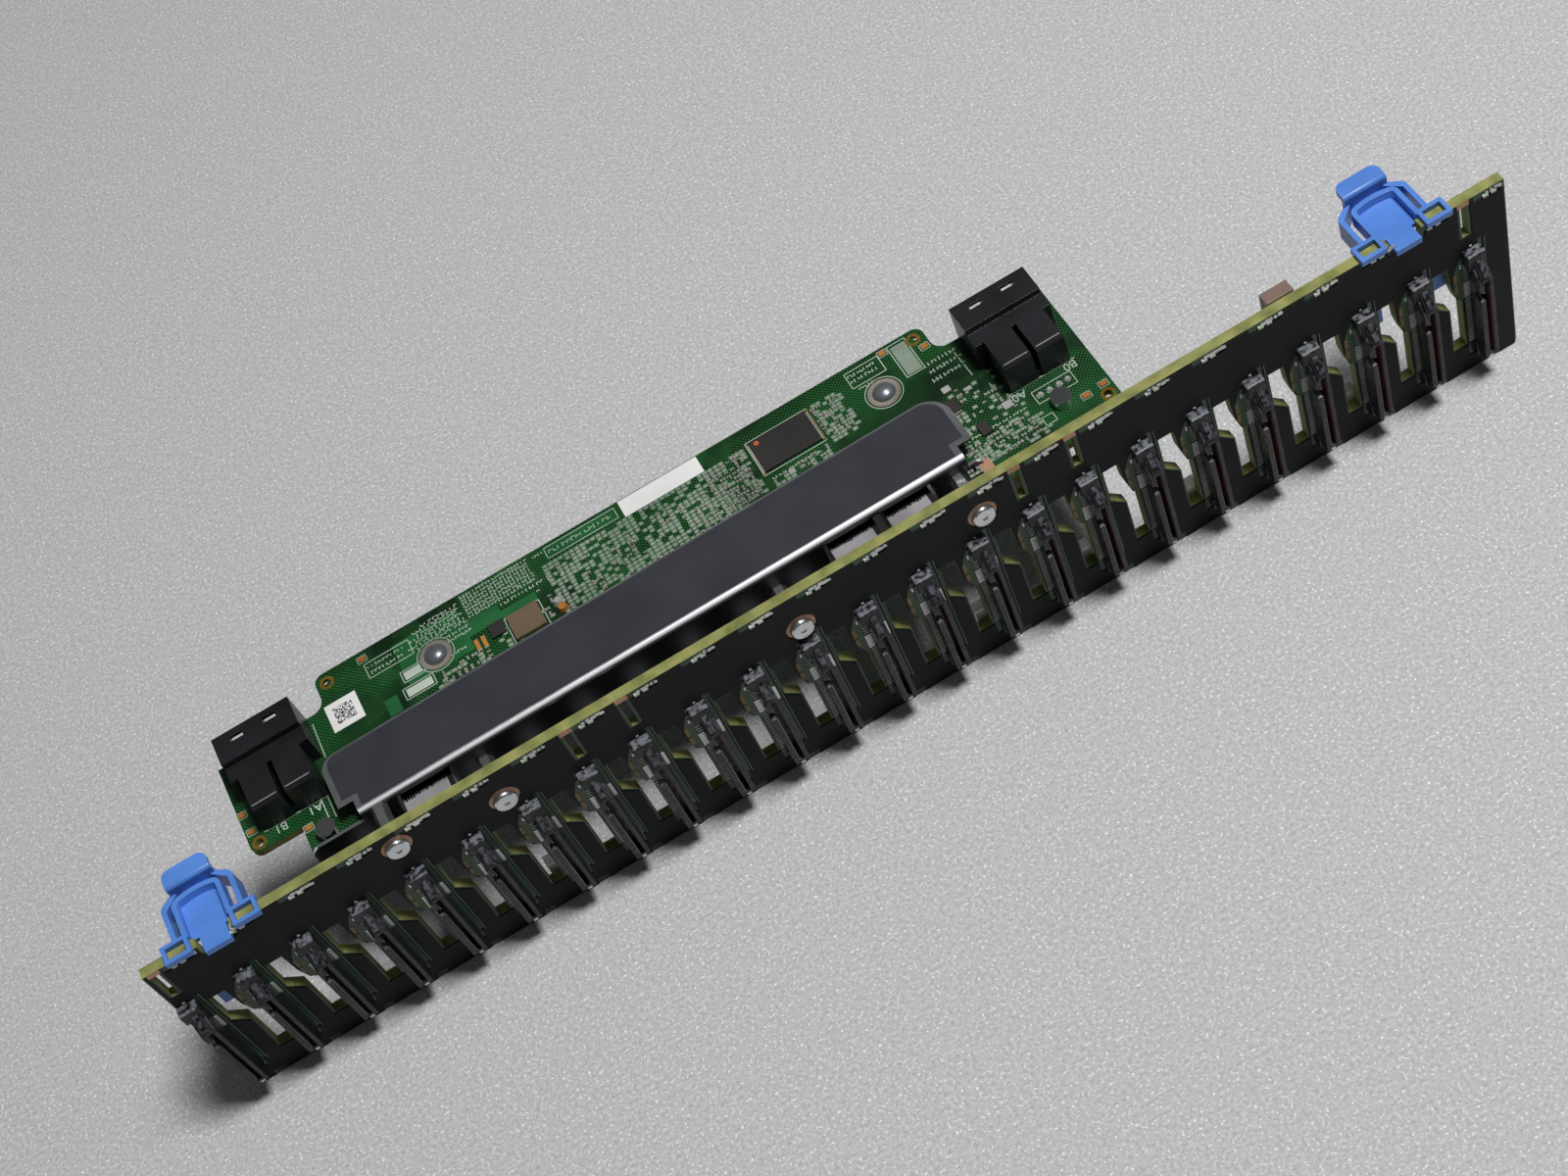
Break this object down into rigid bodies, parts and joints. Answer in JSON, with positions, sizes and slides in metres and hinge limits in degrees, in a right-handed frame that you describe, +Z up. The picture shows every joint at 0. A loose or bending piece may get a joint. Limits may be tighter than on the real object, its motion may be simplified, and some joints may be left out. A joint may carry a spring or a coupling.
{
  "type": "drive backplane board",
  "caption": "Server drive backplane: a long upright board with a row of drive connectors, blue release latches and an expander board with cable ports behind it",
  "frame": {"origin": "middle of the main board's bottom edge: mid-length and mid-thickness", "axes": "+X along the main board, +Y from the drive side back to the expander board, +Z up"},
  "size_m": [0.4227, 0.0767, 0.076],
  "materials": {
    "green_board": "green solder mask over glass-fibre laminate, satin",
    "black_film": "thin black insulating film, fine matt grain",
    "black_connector_plastic": "moulded black nylon, satin",
    "black_port_plastic": "moulded black plastic, slight gloss",
    "pale_connector_plastic": "pale grey moulded plastic",
    "blue_plastic": "blue moulded acetal, satin",
    "zinc_sheet": "zinc plated steel sheet",
    "grey_film": "dark grey insulating film with fine grain",
    "screw_steel": "bright plated steel",
    "black_anodised": "black anodised aluminium",
    "tan_plastic": "tan moulded plastic",
    "light_lens": "clear lens on a white body",
    "chip_plastic": "black moulded chip package",
    "brown_chip": "brown chip package",
    "white_paper": "white label stock"
  },
  "bodies": {
    "root": {"main_board": "green_board", "front_film": "black_film", "drive_connector_01": "black_connector_plastic", "drive_connector_02": "black_connector_plastic", "drive_connector_03": "black_connector_plastic", "drive_connector_04": "black_connector_plastic", "drive_connector_05": "black_connector_plastic", "drive_connector_06": "black_connector_plastic", "drive_connector_07": "black_connector_plastic", "drive_connector_08": "black_connector_plastic", "drive_connector_09": "black_connector_plastic", "drive_connector_10": "black_connector_plastic", "drive_connector_11": "black_connector_plastic", "drive_connector_12": "black_connector_plastic", "drive_connector_13": "black_connector_plastic", "drive_connector_14": "black_connector_plastic", "drive_connector_15": "black_connector_plastic", "drive_connector_16": "black_connector_plastic", "drive_connector_17": "black_connector_plastic", "drive_connector_18": "black_connector_plastic", "drive_connector_19": "black_connector_plastic", "drive_connector_20": "black_connector_plastic", "drive_connector_21": "black_connector_plastic", "drive_connector_22": "black_connector_plastic", "drive_connector_23": "black_connector_plastic", "drive_connector_24": "black_connector_plastic", "release_latch_left": "blue_plastic", "release_latch_right": "blue_plastic", "expander_board": "green_board", "bracket": "zinc_sheet", "bracket_film": "grey_film", "board_header_1": "pale_connector_plastic", "board_header_2": "pale_connector_plastic", "board_header_3": "pale_connector_plastic", "board_socket_1": "black_connector_plastic", "board_socket_2": "black_connector_plastic", "board_socket_3": "black_connector_plastic", "cable_port_left": "black_port_plastic", "cable_port_right": "black_port_plastic", "bracket_screws": "screw_steel", "bracket_standoffs": "screw_steel", "shoulder_studs": "screw_steel", "fixing_screws": "screw_steel", "fixing_bosses": "screw_steel", "heat_sink": "black_anodised", "power_connector": "tan_plastic", "status_lights": "light_lens", "expander_chip": "chip_plastic", "memory_chip": "chip_plastic", "controller_chip": "brown_chip", "small_chip": "chip_plastic", "blank_label": "white_paper", "code_label": "white_paper"}
  },
  "joints": []
}
